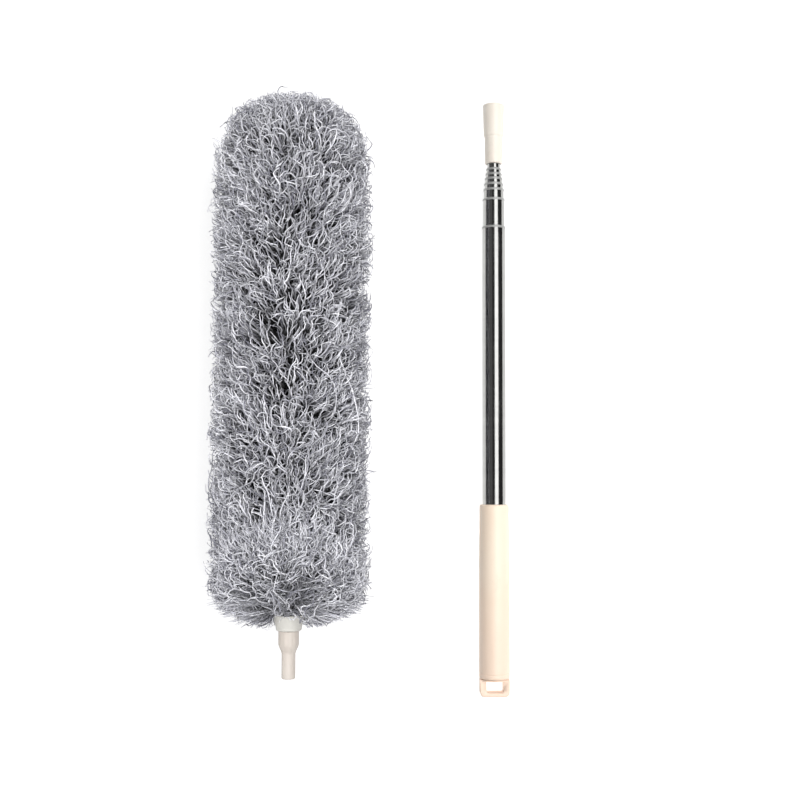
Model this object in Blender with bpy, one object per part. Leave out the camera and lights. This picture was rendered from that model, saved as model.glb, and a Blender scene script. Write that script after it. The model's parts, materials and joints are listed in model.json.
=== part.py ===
"""A telescopic feather duster: a fringed duster head lying beside its collapsed pole.

Both pieces lie flat on the ground, Z = 0, with their long axes along Y. The pole's tip, with the socket
that takes the head, points along +Y. Places along the pole and the head are measured from the end of the
hanging loop. All sizes are in metres.
"""

import math

import bmesh
import bpy

# Driving dimensions of the pole.
POLE_LENGTH = 0.5955
TUBE_COUNT = 8
THICKEST_TUBE_RADIUS = 0.0117
TUBE_WALL = 0.00035
TUBE_STEP = 0.00072
RIM_PLACES = (0.5660, 0.5298, 0.5247, 0.5199, 0.5143, 0.5085, 0.4984, 0.4698)
RIM_BEAD = 0.0003
RIM_LENGTH = 0.0024
LOWEST_FOOT = 0.0660
FOOT_STEP = 0.0120
HANDLE_TUBE_FOOT = 0.0470
BUSH_FLANGE = 0.0060
BUSH_PLUG = 0.0040
BUSH_BORE_STEP = 0.0026
PLUG_FLANGE = 0.0040
PLUG_DEPTH = 0.0080

# Driving dimensions of the grip and the hanging loop.
GRIP_START = 0.0175
GRIP_END = 0.1892
GRIP_RADIUS = 0.01525
GRIP_NECK_RADIUS = 0.0146
GRIP_FOOT_ROUND = 0.0060
GRIP_TAPER_START = 0.1325
GRIP_TAPER_END = 0.1692
LOOP_WIDTH = 0.0295
LOOP_THICKNESS = 0.0140
LOOP_BAR = 0.0044
WINDOW_WIDTH = 0.0168
WINDOW_END = 0.0160
LOOP_STEM_END = 0.0360
LOOP_CORNER = 0.0042
LOOP_OVERLAP = 0.0008

# Driving dimensions of the socket.
SLEEVE_START = 0.5343
CUP_START = 0.5628
SLEEVE_RADIUS = 0.0089
CUP_FOOT_RADIUS = 0.0100
CUP_MOUTH_RADIUS = 0.0110
SOCKET_BORE = 0.00695
SOCKET_DEPTH = 0.0270
SOCKET_WEB = 0.0020
WEB_HOLE = 0.0020
CUP_STEP = 0.0012
MOUTH_CHAMFER = 0.0011

# Driving dimensions of the duster head.
HEAD_SPACING = 0.1984
PILE_RADIUS = 0.0770
PILE_START = 0.0740
PILE_END = 0.5795
PILE_FOOT_LENGTH = 0.0450
PILE_FOOT_SHARE = 0.42
DOME_LENGTH = 0.0600
DOME_FALL = 0.92
DOME_POWER = 2.2
SKIRT_PITCH = 0.0300
SKIRT_LEAN = 0.0280
FIRST_LEAN = 0.0040
LEAN_STEP = 0.0120
SKIRT_THICKNESS = 0.0017
SKIRT_ROOT = 0.0024
PILE_BORE = 0.0088
PILE_ROOT = 0.0105
PILE_ROOT_END = 0.5340
BEND_PLACE = 0.3250
SPIGOT_START = 0.0273
SPIGOT_END = 0.0513
SPIGOT_RADIUS = 0.00655
SPIGOT_BORE = 0.00440
SPIGOT_BORE_DEPTH = 0.0180
CONNECTOR_RADIUS = 0.0098
TAPER_END = 0.0586
COLLAR_START = 0.0725
COLLAR_END = 0.0870
COLLAR_FOOT_RADIUS = 0.01215
COLLAR_MOUTH_RADIUS = 0.0150
COLLAR_WALL = 0.0016
COLLAR_DRAFT = 0.0008
COLLAR_FLOOR = 0.0090
SEAT_STEP = 0.0012
SEAT_SINK = 0.0030
SHOULDER = 0.0009
CORE_WIRE_RADIUS = 0.0016
CORE_SLEEVE_RADIUS = 0.0085
CORE_SLEEVE_BORE = 0.0030
CORE_SLEEVE_END = 0.5360
WIRE_SINK = 0.0060
WIRE_END = 0.5440
FERRULE_LIP = 0.0020
CAP_END = 0.5500
CAP_ROUND = 0.0040

FIT_GAP = 0.0003
RUNNING_GAP = 0.00015
EDGE_BREAK = 0.0004
ROUND_SIDES = 32
SMALL_SIDES = 24
WIRE_SIDES = 12
CORNER_FACETS = 4

# The axes of the two pieces, with the model's box centred on X = 0 and Y = 0.
BOX_WIDTH = PILE_RADIUS + HEAD_SPACING + GRIP_RADIUS
POLE_X = BOX_WIDTH / 2 - GRIP_RADIUS
POLE_Z = GRIP_RADIUS
HEAD_X = POLE_X - HEAD_SPACING
HEAD_Z = PILE_RADIUS
START_Y = -POLE_LENGTH / 2


def clear_scene():
    for thing in list(bpy.data.objects):
        bpy.data.objects.remove(thing, do_unlink=True)


def make_material(name, colour, roughness, metallic=0.0):
    material = bpy.data.materials.new(name)
    material.use_nodes = True
    shader = material.node_tree.nodes["Principled BSDF"]
    shader.inputs["Base Color"].default_value = (*colour, 1.0)
    shader.inputs["Roughness"].default_value = roughness
    shader.inputs["Metallic"].default_value = metallic
    return material


def make_axis(name, x, z):
    """An empty on one of the two long axes, level with the end of the hanging loop."""
    axis = bpy.data.objects.new(name, None)
    axis.location = (x, START_Y, z)
    bpy.context.scene.collection.objects.link(axis)
    return axis


def make_object(name, mesh_maker, material, parent, place):
    mesh = bpy.data.meshes.new(name)
    bmesh.ops.recalc_face_normals(mesh_maker, faces=mesh_maker.faces)
    mesh_maker.to_mesh(mesh)
    mesh_maker.free()
    mesh.shade_smooth()
    mesh.set_sharp_from_angle(angle=math.radians(35))
    mesh.materials.append(material)
    thing = bpy.data.objects.new(name, mesh)
    thing.parent = parent
    thing.location = (0.0, place, 0.0)
    bpy.context.scene.collection.objects.link(thing)
    return thing


def turned(name, outline, material, parent, place=0.0, sides=ROUND_SIDES):
    """A body turned about +Y. The outline's points are (distance along the axis, radius) and it is a closed
    loop, unless it starts and ends on the axis, with radius 0."""
    maker = bmesh.new()
    rings = []
    for along, radius in outline:
        if radius == 0.0:
            rings.append([maker.verts.new((0.0, along - place, 0.0))] * sides)
            continue
        ring = []
        for k in range(sides):
            turn = 2 * math.pi * k / sides
            point = (radius * math.cos(turn), along - place, radius * math.sin(turn))
            ring.append(maker.verts.new(point))
        rings.append(ring)
    on_axis = outline[0][1] == 0.0
    pairs = list(zip(rings, rings[1:]))
    if not on_axis:
        pairs.append((rings[-1], rings[0]))
    for one, other in pairs:
        for k in range(sides):
            corners = (one[k], one[(k + 1) % sides], other[(k + 1) % sides], other[k])
            maker.faces.new(list(dict.fromkeys(corners)))
    return make_object(name, maker, material, parent, place)


def arc_points(centre, radius, start, end, count):
    """Points on a circular arc in a plane. Angles are in degrees from the first coordinate's axis."""
    points = []
    for k in range(count + 1):
        angle = math.radians(start + (end - start) * k / count)
        points.append((centre[0] + radius * math.cos(angle), centre[1] + radius * math.sin(angle)))
    return points


def tube_radius(number):
    """The outer radius of a tube. Tube 1 is the thinnest and tube 8 the thickest."""
    return THICKEST_TUBE_RADIUS - (TUBE_COUNT - number) * TUBE_STEP


def tube_foot(number):
    if number == TUBE_COUNT:
        return HANDLE_TUBE_FOOT
    return LOWEST_FOOT + (TUBE_COUNT - 1 - number) * FOOT_STEP


def make_tube(number, steel, pole):
    """One stainless section, open at both ends, with a rolled bead round its mouth."""
    foot = tube_foot(number)
    rim = RIM_PLACES[number - 1]
    outer = tube_radius(number)
    bore = outer - TUBE_WALL
    outline = [(foot, bore), (foot, outer)]
    if number > 1:
        outline += [
            (rim - RIM_LENGTH, outer),
            (rim - 0.8 * RIM_LENGTH, outer + RIM_BEAD),
            (rim - 0.2 * RIM_LENGTH, outer + RIM_BEAD),
        ]
    outline += [(rim, outer), (rim, bore)]
    turned(f"tube_{number}", outline, steel, pole, foot)


def make_bush(number, nylon, pole):
    """The friction bush at a tube's foot: a plug inside it and a flange that rubs in the next tube."""
    foot = tube_foot(number)
    outer = tube_radius(number)
    flange = tube_radius(number + 1) - TUBE_WALL - RUNNING_GAP
    plug = outer - TUBE_WALL - FIT_GAP
    bore = outer - BUSH_BORE_STEP
    flange_end = foot - FIT_GAP
    flange_start = flange_end - BUSH_FLANGE
    outline = [
        (flange_start, bore),
        (flange_start, flange - EDGE_BREAK),
        (flange_start + EDGE_BREAK, flange),
        (flange_end, flange),
        (flange_end, plug),
        (foot + BUSH_PLUG, plug),
        (foot + BUSH_PLUG, bore),
    ]
    turned(f"guide_bush_{number}", outline, nylon, pole, foot)


def make_socket(plastic, pole):
    """The tip adapter: a sleeve on the thinnest tube, a web, and a flared cup for the head's spigot."""
    tube_seat = tube_radius(1) + FIT_GAP
    web_end = POLE_LENGTH - SOCKET_DEPTH
    web_start = web_end - SOCKET_WEB
    outline = [
        (SLEEVE_START, tube_seat),
        (SLEEVE_START, SLEEVE_RADIUS - 3 * EDGE_BREAK),
        (SLEEVE_START + EDGE_BREAK, SLEEVE_RADIUS - EDGE_BREAK),
        (SLEEVE_START + 3 * EDGE_BREAK, SLEEVE_RADIUS),
        (CUP_START, SLEEVE_RADIUS + 0.5 * EDGE_BREAK),
        (CUP_START + CUP_STEP, CUP_FOOT_RADIUS),
        (POLE_LENGTH - 2 * EDGE_BREAK, CUP_MOUTH_RADIUS),
        (POLE_LENGTH, CUP_MOUTH_RADIUS - 1.5 * EDGE_BREAK),
        (POLE_LENGTH, SOCKET_BORE + MOUTH_CHAMFER),
        (POLE_LENGTH - MOUTH_CHAMFER, SOCKET_BORE),
        (web_end, SOCKET_BORE),
        (web_end, WEB_HOLE),
        (web_start, WEB_HOLE),
        (web_start, tube_seat),
    ]
    turned("socket_adapter", outline, plastic, pole, SLEEVE_START)


def make_grip(plastic, pole):
    """The moulded handle sleeve, a little thinner towards its upper rim."""
    bore = THICKEST_TUBE_RADIUS + FIT_GAP
    outline = [
        (GRIP_START, bore),
        (GRIP_START, GRIP_RADIUS - 2 * EDGE_BREAK),
        (GRIP_START + 2 * EDGE_BREAK, GRIP_RADIUS - 0.5 * EDGE_BREAK),
        (GRIP_START + GRIP_FOOT_ROUND, GRIP_RADIUS),
        (GRIP_TAPER_START, GRIP_RADIUS),
        (GRIP_TAPER_END, GRIP_NECK_RADIUS + 0.5 * EDGE_BREAK),
        (GRIP_END - 2 * EDGE_BREAK, GRIP_NECK_RADIUS),
        (GRIP_END, GRIP_NECK_RADIUS - 1.5 * EDGE_BREAK),
        (GRIP_END, bore),
    ]
    turned("grip", outline, plastic, pole, GRIP_START)


def make_tube_plug(nylon, pole):
    """The plug that closes the foot of the thickest tube, inside the grip."""
    plug = THICKEST_TUBE_RADIUS - TUBE_WALL - FIT_GAP
    flange_end = HANDLE_TUBE_FOOT - FIT_GAP
    flange_start = flange_end - PLUG_FLANGE
    plug_end = HANDLE_TUBE_FOOT + PLUG_DEPTH
    outline = [
        (flange_start, 0.0),
        (flange_start, THICKEST_TUBE_RADIUS),
        (flange_end, THICKEST_TUBE_RADIUS),
        (flange_end, plug),
        (plug_end, plug),
        (plug_end, 0.0),
    ]
    turned("tube_plug", outline, nylon, pole, flange_start)


def rounded_tab(width, start, end, corner):
    """The outline of the loop's tab in X and Y, round at its two outer corners."""
    half = width / 2
    points = [(half, end)]
    for side in (1, -1):
        centre = (side * (half - corner), start + corner)
        first = 0 if side == 1 else -90
        points += arc_points(centre, corner, first, first - 90, CORNER_FACETS)
    points.append((-half, end))
    return points


def extruded(name, points, thickness, material, parent):
    """A flat plate with an outline in X and Y, centred on the axis in Z."""
    maker = bmesh.new()
    bottom = [maker.verts.new((x, y, -thickness / 2)) for x, y in points]
    face = maker.faces.new(bottom)
    grown = bmesh.ops.extrude_face_region(maker, geom=[face])
    top = [v for v in grown["geom"] if isinstance(v, bmesh.types.BMVert)]
    bmesh.ops.translate(maker, vec=(0.0, 0.0, thickness), verts=top)
    return make_object(name, maker, material, parent, 0.0)


def combine(target, tool, operation):
    """Add or cut one body with another, whose object is kept only as a hidden guide."""
    step = target.modifiers.new(operation.lower(), "BOOLEAN")
    step.operation = operation
    step.object = tool
    tool.hide_render = True
    tool.display_type = "WIRE"


def make_hanging_loop(plastic, pole):
    """The end piece: a stem inside the grip, a flange against its end, and a tab with a square window."""
    stem = THICKEST_TUBE_RADIUS
    flange_end = GRIP_START - FIT_GAP
    outline = [
        (WINDOW_END, 0.0),
        (WINDOW_END, LOOP_WIDTH / 2 - EDGE_BREAK),
        (WINDOW_END + EDGE_BREAK, LOOP_WIDTH / 2),
        (flange_end, LOOP_WIDTH / 2),
        (flange_end, stem),
        (LOOP_STEM_END, stem),
        (LOOP_STEM_END, 0.0),
    ]
    loop = turned("hanging_loop", outline, plastic, pole)
    tab_outline = rounded_tab(LOOP_WIDTH - 0.5 * EDGE_BREAK, 0.0, WINDOW_END + LOOP_OVERLAP, LOOP_CORNER)
    tab = extruded("loop_tab", tab_outline, LOOP_THICKNESS, plastic, pole)
    half = WINDOW_WIDTH / 2
    opening = [(half, WINDOW_END), (half, LOOP_BAR), (-half, LOOP_BAR), (-half, WINDOW_END)]
    window = extruded("loop_window", opening, 2 * LOOP_THICKNESS, plastic, pole)
    combine(loop, tab, "UNION")
    combine(loop, window, "DIFFERENCE")


def make_connector(plastic, head):
    """The head's moulded foot: a hollow spigot, a taper, a round body and a seat inside the collar."""
    recess_end = SPIGOT_START + SPIGOT_BORE_DEPTH
    seat_start = COLLAR_START - FIT_GAP
    seat_radius = CONNECTOR_RADIUS - SEAT_STEP
    seat_end = COLLAR_END - SEAT_SINK
    wire_bore = CORE_WIRE_RADIUS + FIT_GAP
    outline = [
        (SPIGOT_START, SPIGOT_BORE),
        (SPIGOT_START, SPIGOT_RADIUS - EDGE_BREAK),
        (SPIGOT_START + 2 * EDGE_BREAK, SPIGOT_RADIUS),
        (SPIGOT_END, SPIGOT_RADIUS),
        (TAPER_END, CONNECTOR_RADIUS),
        (seat_start - SHOULDER, CONNECTOR_RADIUS),
        (seat_start, CONNECTOR_RADIUS + SHOULDER),
        (seat_start, seat_radius),
        (seat_end, seat_radius),
        (seat_end, wire_bore),
        (recess_end, wire_bore),
        (recess_end, SPIGOT_BORE),
    ]
    turned("connector", outline, plastic, head, SPIGOT_START)


def make_collar(plastic, head):
    """The flared cup that the lowest tufts stand in."""
    seat = CONNECTOR_RADIUS - SEAT_STEP + FIT_GAP
    floor_end = COLLAR_START + COLLAR_FLOOR
    mouth = COLLAR_MOUTH_RADIUS - COLLAR_WALL
    outline = [
        (COLLAR_START, seat),
        (COLLAR_START, COLLAR_FOOT_RADIUS - EDGE_BREAK),
        (COLLAR_START + EDGE_BREAK, COLLAR_FOOT_RADIUS),
        (COLLAR_END - EDGE_BREAK, COLLAR_MOUTH_RADIUS),
        (COLLAR_END, COLLAR_MOUTH_RADIUS - EDGE_BREAK),
        (COLLAR_END, mouth),
        (floor_end, mouth - COLLAR_DRAFT),
        (floor_end, seat),
    ]
    turned("collar", outline, plastic, head, COLLAR_START)


def make_core(steel, nylon, cloth, head):
    """The bendable wire, the ferrule on its foot, the cloth sleeve round it and the cap on its end."""
    wire_bore = CORE_WIRE_RADIUS + FIT_GAP
    wire_start = SPIGOT_START + SPIGOT_BORE_DEPTH - WIRE_SINK
    wire = [
        (wire_start, 0.0),
        (wire_start, CORE_WIRE_RADIUS),
        (WIRE_END, CORE_WIRE_RADIUS),
        (WIRE_END, 0.0),
    ]
    ferrule_start = wire_start - FERRULE_LIP
    ferrule_end = SPIGOT_START + SPIGOT_BORE_DEPTH - FIT_GAP
    ferrule = [
        (ferrule_start, wire_bore),
        (ferrule_start, SPIGOT_BORE - FIT_GAP),
        (ferrule_end, SPIGOT_BORE - FIT_GAP),
        (ferrule_end, wire_bore),
    ]
    sleeve_start = COLLAR_END - SEAT_SINK + FIT_GAP
    sleeve = [
        (sleeve_start, CORE_SLEEVE_BORE),
        (sleeve_start, CORE_SLEEVE_RADIUS),
        (CORE_SLEEVE_END, CORE_SLEEVE_RADIUS),
        (CORE_SLEEVE_END, CORE_SLEEVE_BORE),
    ]
    cap_start = CORE_SLEEVE_END + FIT_GAP
    cap_corner = (CAP_END - CAP_ROUND, CORE_SLEEVE_RADIUS - CAP_ROUND)
    cap = [
        (WIRE_END + FIT_GAP, 0.0),
        (WIRE_END + FIT_GAP, wire_bore),
        (cap_start, wire_bore),
        (cap_start, CORE_SLEEVE_RADIUS),
        *arc_points(cap_corner, CAP_ROUND, 90, 0, CORNER_FACETS),
        (CAP_END, 0.0),
    ]
    turned("core_wire", wire, steel, head, BEND_PLACE, WIRE_SIDES)
    turned("core_ferrule", ferrule, nylon, head, wire_start, SMALL_SIDES)
    turned("core_sleeve", sleeve, cloth, head, BEND_PLACE, SMALL_SIDES)
    turned("tip_cap", cap, nylon, head, BEND_PLACE, SMALL_SIDES)


def pile_envelope(along):
    """How far the fringe reaches from the core: an even sleeve with a domed end and a drawn-in foot."""
    foot_share = min(max((along - PILE_START) / PILE_FOOT_LENGTH, 0.0), 1.0)
    dome_share = min(max((along - PILE_END + DOME_LENGTH) / DOME_LENGTH, 0.0), 1.0)
    foot = PILE_FOOT_SHARE + (1.0 - PILE_FOOT_SHARE) * math.sin(0.5 * math.pi * foot_share)
    dome = math.sqrt(1.0 - DOME_FALL * dome_share**DOME_POWER)
    return PILE_RADIUS * foot * dome


def make_pile(name, start, end, first_lean, last_edge, material, head):
    """One half of the wound fringe, as a stack of thin skirts that lean towards the head's tip. Each skirt
    has the fringe's reach, and together they have about the yarn's real volume."""
    first_root = start + SKIRT_ROOT / 2
    last_root = end - 2 * SKIRT_ROOT
    extra_lean = last_edge - last_root - SKIRT_LEAN
    gaps = round((last_root - first_root) / SKIRT_PITCH)
    outline = [(start, PILE_BORE), (start, PILE_ROOT)]
    for k in range(gaps + 1):
        share = k / gaps
        root = first_root + (last_root - first_root) * share
        edge = root + min(SKIRT_LEAN, first_lean + LEAN_STEP * k) + extra_lean * share**2
        reach = pile_envelope(edge)
        outline += [
            (root, PILE_ROOT),
            (edge, reach),
            (edge + SKIRT_THICKNESS, reach),
            (root + SKIRT_ROOT, PILE_ROOT),
        ]
    outline += [(end, PILE_ROOT), (end, PILE_BORE)]
    turned(name, outline, material, head, BEND_PLACE)


def build():
    clear_scene()
    steel = make_material("polished_stainless", (0.62, 0.62, 0.60), 0.12, 1.0)
    cream = make_material("cream_plastic", (0.92, 0.84, 0.74), 0.38)
    ivory = make_material("ivory_plastic", (0.80, 0.77, 0.71), 0.42)
    nylon = make_material("natural_nylon", (0.75, 0.73, 0.68), 0.50)
    cloth = make_material("grey_backing_cloth", (0.12, 0.12, 0.13), 0.90)
    yarn = make_material("grey_yarn", (0.27, 0.27, 0.29), 0.85)
    wire = make_material("spring_wire", (0.45, 0.45, 0.44), 0.35, 1.0)

    pole = make_axis("pole_axis", POLE_X, POLE_Z)
    for number in range(1, TUBE_COUNT + 1):
        make_tube(number, steel, pole)
    for number in range(1, TUBE_COUNT):
        make_bush(number, nylon, pole)
    make_socket(cream, pole)
    make_grip(cream, pole)
    make_tube_plug(nylon, pole)
    make_hanging_loop(cream, pole)

    head = make_axis("head_axis", HEAD_X, HEAD_Z)
    make_connector(ivory, head)
    make_collar(ivory, head)
    make_core(wire, nylon, cloth, head)
    base_start = COLLAR_END + FIT_GAP
    base_end = BEND_PLACE - FIT_GAP / 2
    base_edge = base_end + SKIRT_LEAN - 2.5 * SKIRT_ROOT
    tip_start = BEND_PLACE + FIT_GAP / 2
    tip_edge = PILE_END - SKIRT_THICKNESS
    make_pile("pile_base", base_start, base_end, FIRST_LEAN, base_edge, yarn, head)
    make_pile("pile_tip", tip_start, PILE_ROOT_END, SKIRT_LEAN, tip_edge, yarn, head)


build()
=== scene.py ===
"""The looks of a telescopic duster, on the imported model's frame.

The pole lies collapsed beside the duster head. Both long axes run along Y, and lengths are in metres. The
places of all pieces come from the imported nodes. The sizes named here are details within a node's own box.
"""

import json
import math

import bmesh
import bpy
import numpy as np
from mathutils import Matrix, Vector


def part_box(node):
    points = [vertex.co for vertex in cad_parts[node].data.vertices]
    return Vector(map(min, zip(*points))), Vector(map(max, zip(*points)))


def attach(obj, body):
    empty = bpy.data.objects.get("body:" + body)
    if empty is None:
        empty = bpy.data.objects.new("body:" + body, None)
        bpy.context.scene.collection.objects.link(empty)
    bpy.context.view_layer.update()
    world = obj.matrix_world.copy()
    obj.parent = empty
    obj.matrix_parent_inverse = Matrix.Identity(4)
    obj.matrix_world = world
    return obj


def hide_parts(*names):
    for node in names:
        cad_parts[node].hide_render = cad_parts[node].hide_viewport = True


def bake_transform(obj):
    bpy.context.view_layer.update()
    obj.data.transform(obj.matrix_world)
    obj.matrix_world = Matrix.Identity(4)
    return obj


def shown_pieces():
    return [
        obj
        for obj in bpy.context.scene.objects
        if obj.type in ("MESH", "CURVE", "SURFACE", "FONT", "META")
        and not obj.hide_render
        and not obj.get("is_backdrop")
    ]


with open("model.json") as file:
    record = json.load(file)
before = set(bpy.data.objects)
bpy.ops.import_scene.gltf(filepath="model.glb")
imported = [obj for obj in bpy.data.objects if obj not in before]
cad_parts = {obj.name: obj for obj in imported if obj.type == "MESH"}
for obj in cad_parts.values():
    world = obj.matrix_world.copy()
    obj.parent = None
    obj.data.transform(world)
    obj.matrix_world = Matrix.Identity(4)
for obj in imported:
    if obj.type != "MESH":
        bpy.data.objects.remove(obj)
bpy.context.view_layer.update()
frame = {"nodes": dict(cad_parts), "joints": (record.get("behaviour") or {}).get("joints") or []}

# ---------------------------------------------------------------- places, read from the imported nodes
BODY_OF_TUBE = {1: "tip_section", 2: "section_2", 3: "section_3", 4: "section_4", 5: "section_5",
                6: "section_6", 7: "section_7", 8: "handle"}
FRINGE_ABOVE_COLLAR_FOOT = 0.0015


def middle(node):
    low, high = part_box(node)
    return (low + high) / 2


def span(node):
    """Where a node starts and ends along Y."""
    low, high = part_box(node)
    return low.y, high.y


def reach(node):
    """The largest radius of a turned node, from its width."""
    low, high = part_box(node)
    return (high.x - low.x) / 2


POLE_X, POLE_Z = middle("tube_8").x, middle("tube_8").z
HEAD_X, HEAD_Z = middle("core_sleeve").x, middle("core_sleeve").z
POLE, HEAD = (POLE_X, POLE_Z), (HEAD_X, HEAD_Z)
PILE_LOW, PILE_HIGH = span("collar")[0] + FRINGE_ABOVE_COLLAR_FOOT, span("pile_tip")[1]
PILE_RADIUS = reach("pile_base")
BEND_Y = next(j for j in frame["joints"] if j["name"] == "head_bend")["pos_m"][1]

# ---------------------------------------------------------------- materials


class Paint:
    """A material under construction: adds nodes, links them, and feeds the shader."""

    def __init__(self, name):
        self.material = bpy.data.materials.new(name)
        self.material.use_nodes = True
        self.tree = self.material.node_tree
        self.shader = self.tree.nodes["Principled BSDF"]

    def node(self, kind, **values):
        node = self.tree.nodes.new("ShaderNode" + kind)
        for key, value in values.items():
            setattr(node, key, value)
        return node

    def feed(self, socket, value):
        if isinstance(value, bpy.types.NodeSocket):
            self.tree.links.new(value, socket)
        elif isinstance(value, tuple) and len(value) == 3 and socket.type == "RGBA":
            socket.default_value = (*value, 1.0)
        else:
            socket.default_value = value

    def set(self, **inputs):
        """Feeds the shader's own inputs. An underscore stands for a space in their names."""
        for name, value in inputs.items():
            self.feed(self.shader.inputs[name.replace("_", " ")], value)

    def coordinates(self, scale):
        """Object coordinates, scaled along each axis."""
        place = self.node("TexCoord")
        mapping = self.node("Mapping")
        self.feed(mapping.inputs["Vector"], place.outputs["Object"])
        self.feed(mapping.inputs["Scale"], scale)
        return mapping.outputs["Vector"]

    def noise(self, scale, detail=3.0, roughness=0.5):
        """Noise with its own scale along each axis, in cycles a metre."""
        texture = self.node("TexNoise")
        self.feed(texture.inputs["Vector"], self.coordinates(scale))
        self.feed(texture.inputs["Scale"], 1.0)
        self.feed(texture.inputs["Detail"], detail)
        self.feed(texture.inputs["Roughness"], roughness)
        return texture.outputs["Fac"]

    def attribute(self, name):
        """A number stored on the mesh's points."""
        return self.node("Attribute", attribute_name=name).outputs["Fac"]

    def spread(self, value, low, high, out_low=0.0, out_high=1.0, smooth=False):
        """A value mapped from one range to another, and held at the ends."""
        ranged = self.node("MapRange", interpolation_type="SMOOTHSTEP" if smooth else "LINEAR")
        for socket, number in zip(("Value", "From Min", "From Max", "To Min", "To Max"),
                                  (value, low, high, out_low, out_high)):
            self.feed(ranged.inputs[socket], number)
        return ranged.outputs["Result"]

    def maths(self, operation, first, second):
        sums = self.node("Math", operation=operation)
        self.feed(sums.inputs[0], first)
        self.feed(sums.inputs[1], second)
        return sums.outputs[0]

    def mix(self, share, first, second, kind="MIX"):
        mixer = self.node("Mix", data_type="RGBA", blend_type=kind)
        self.feed(mixer.inputs["Factor"], share)
        self.feed(mixer.inputs[6], first)
        self.feed(mixer.inputs[7], second)
        return mixer.outputs[2]

    def bump(self, height, distance, strength=1.0):
        bump = self.node("Bump")
        self.feed(bump.inputs["Height"], height)
        self.feed(bump.inputs["Distance"], distance)
        self.feed(bump.inputs["Strength"], strength)
        self.feed(self.shader.inputs["Normal"], bump.outputs["Normal"])


def steel_paint(name, light, dark, gloss, metal=1.0):
    """Drawn and polished stainless tube: fine lines along it, faint bands round it, and handling smears."""
    paint = Paint(name)
    lines = paint.noise((2600.0, 9.0, 2600.0), 4.0, 0.6)
    bands = paint.noise((4.0, 160.0, 4.0), 2.0)
    smears = paint.noise((60.0, 22.0, 60.0), 3.0)
    tone = paint.maths("ADD", paint.maths("MULTIPLY", lines, 0.65), paint.maths("MULTIPLY", bands, 0.35))
    colour = paint.mix(paint.spread(tone, 0.32, 0.68), dark, light)
    rough = paint.maths("ADD", paint.spread(lines, 0.3, 0.7, gloss, gloss + 0.05),
                        paint.spread(smears, 0.45, 0.75, 0.0, 0.09))
    paint.set(Base_Color=colour, Metallic=metal, Roughness=rough)
    paint.bump(lines, 0.000015, 0.6)
    return paint.material


def plastic_paint(name, light, warm, grime, roughness, painted_warm_shade=None):
    """Moulded plastic: a fine satin texture, slow changes of tint, small specks, and a trace of handling. It
    may
    also take painted shade along Y: a pinker, slightly darker tint, from none at one place to full at another."""
    paint = Paint(name)
    slow = paint.noise((26.0, 14.0, 26.0), 3.0)
    grain = paint.noise((1800.0, 1800.0, 1800.0), 2.0, 0.6)
    specks = paint.noise((520.0, 520.0, 520.0), 1.0)
    wear = paint.noise((90.0, 40.0, 90.0), 5.0, 0.65)
    colour = paint.mix(paint.spread(slow, 0.38, 0.64, 0.0, 1.0, True), light, warm)
    # Painted shade: a pinker, slightly darker tint that grows along Y.
    if painted_warm_shade:
        place = paint.node("SeparateXYZ")
        paint.feed(place.inputs[0], paint.node("TexCoord").outputs["Object"])
        colour = paint.mix(paint.spread(place.outputs["Y"], painted_warm_shade[1], painted_warm_shade[2]), colour, painted_warm_shade[0])
    colour = paint.mix(paint.spread(wear, 0.56, 0.80, 0.0, 0.30), colour, grime)
    colour = paint.mix(paint.spread(specks, 0.70, 0.78, 0.0, 0.22), colour, grime)
    rough = paint.maths("ADD", paint.spread(wear, 0.3, 0.7, roughness - 0.05, roughness + 0.07),
                        paint.spread(grain, 0.3, 0.7, -0.03, 0.03))
    paint.set(Base_Color=colour, Roughness=rough, IOR=1.49)
    paint.bump(paint.maths("ADD", grain, paint.maths("MULTIPLY", slow, 2.0)), 0.00003, 0.55)
    return paint.material


def yarn_paint(name, shade, light, cool):
    """Grey microfibre yarn: every strand has its own tone, it is fuzzy, and painted shade darkens it into the
    pile.
    """
    paint = Paint(name)
    tone = paint.attribute("tone")
    depth = paint.attribute("depth")
    fuzz = paint.noise((1500.0, 1500.0, 1500.0), 3.0, 0.7)
    ply = paint.noise((420.0, 420.0, 420.0), 2.0)
    own = paint.mix(paint.spread(tone, 0.0, 1.0), shade, light)
    own = paint.mix(paint.spread(ply, 0.40, 0.66, 0.0, 0.55), own, cool)
    # Painted shade: the deeper a point lies in the pile, the darker it is painted, down to near black.
    out = paint.spread(depth, 0.64, 0.98, 0.016, 1.0, True)
    flecks = paint.spread(fuzz, 0.25, 0.75, 0.78, 1.12)
    value = paint.maths("MULTIPLY", out, flecks)
    colour = paint.mix(1.0, own, value, "MULTIPLY")
    paint.set(Base_Color=colour, Roughness=paint.spread(fuzz, 0.3, 0.7, 0.72, 0.92),
              Sheen_Weight=0.15, Sheen_Roughness=0.5, Specular_IOR_Level=0.2)
    paint.bump(fuzz, 0.0002, 0.8)
    return paint.material


def cloth_paint(name, thread, gap):
    """A woven tape: warp and weft ridges, and lint."""
    paint = Paint(name)
    lint = paint.noise((900.0, 900.0, 900.0), 4.0, 0.7)
    waves = []
    for direction, scale in (("Y", 900.0), ("X", 700.0)):
        wave = paint.node("TexWave", bands_direction=direction)
        paint.feed(wave.inputs["Vector"], paint.coordinates((1.0, 1.0, 1.0)))
        paint.feed(wave.inputs["Scale"], scale)
        paint.feed(wave.inputs["Distortion"], 1.2)
        waves.append(wave.outputs["Fac"])
    weave = paint.maths("MULTIPLY", waves[0], waves[1])
    colour = paint.mix(paint.spread(weave, 0.0, 0.8), gap, thread)
    colour = paint.mix(paint.spread(lint, 0.55, 0.75, 0.0, 0.35), colour, thread)
    paint.set(Base_Color=colour, Roughness=paint.spread(lint, 0.3, 0.7, 0.82, 0.97))
    paint.bump(paint.maths("ADD", weave, lint), 0.0002, 0.8)
    return paint.material


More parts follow.
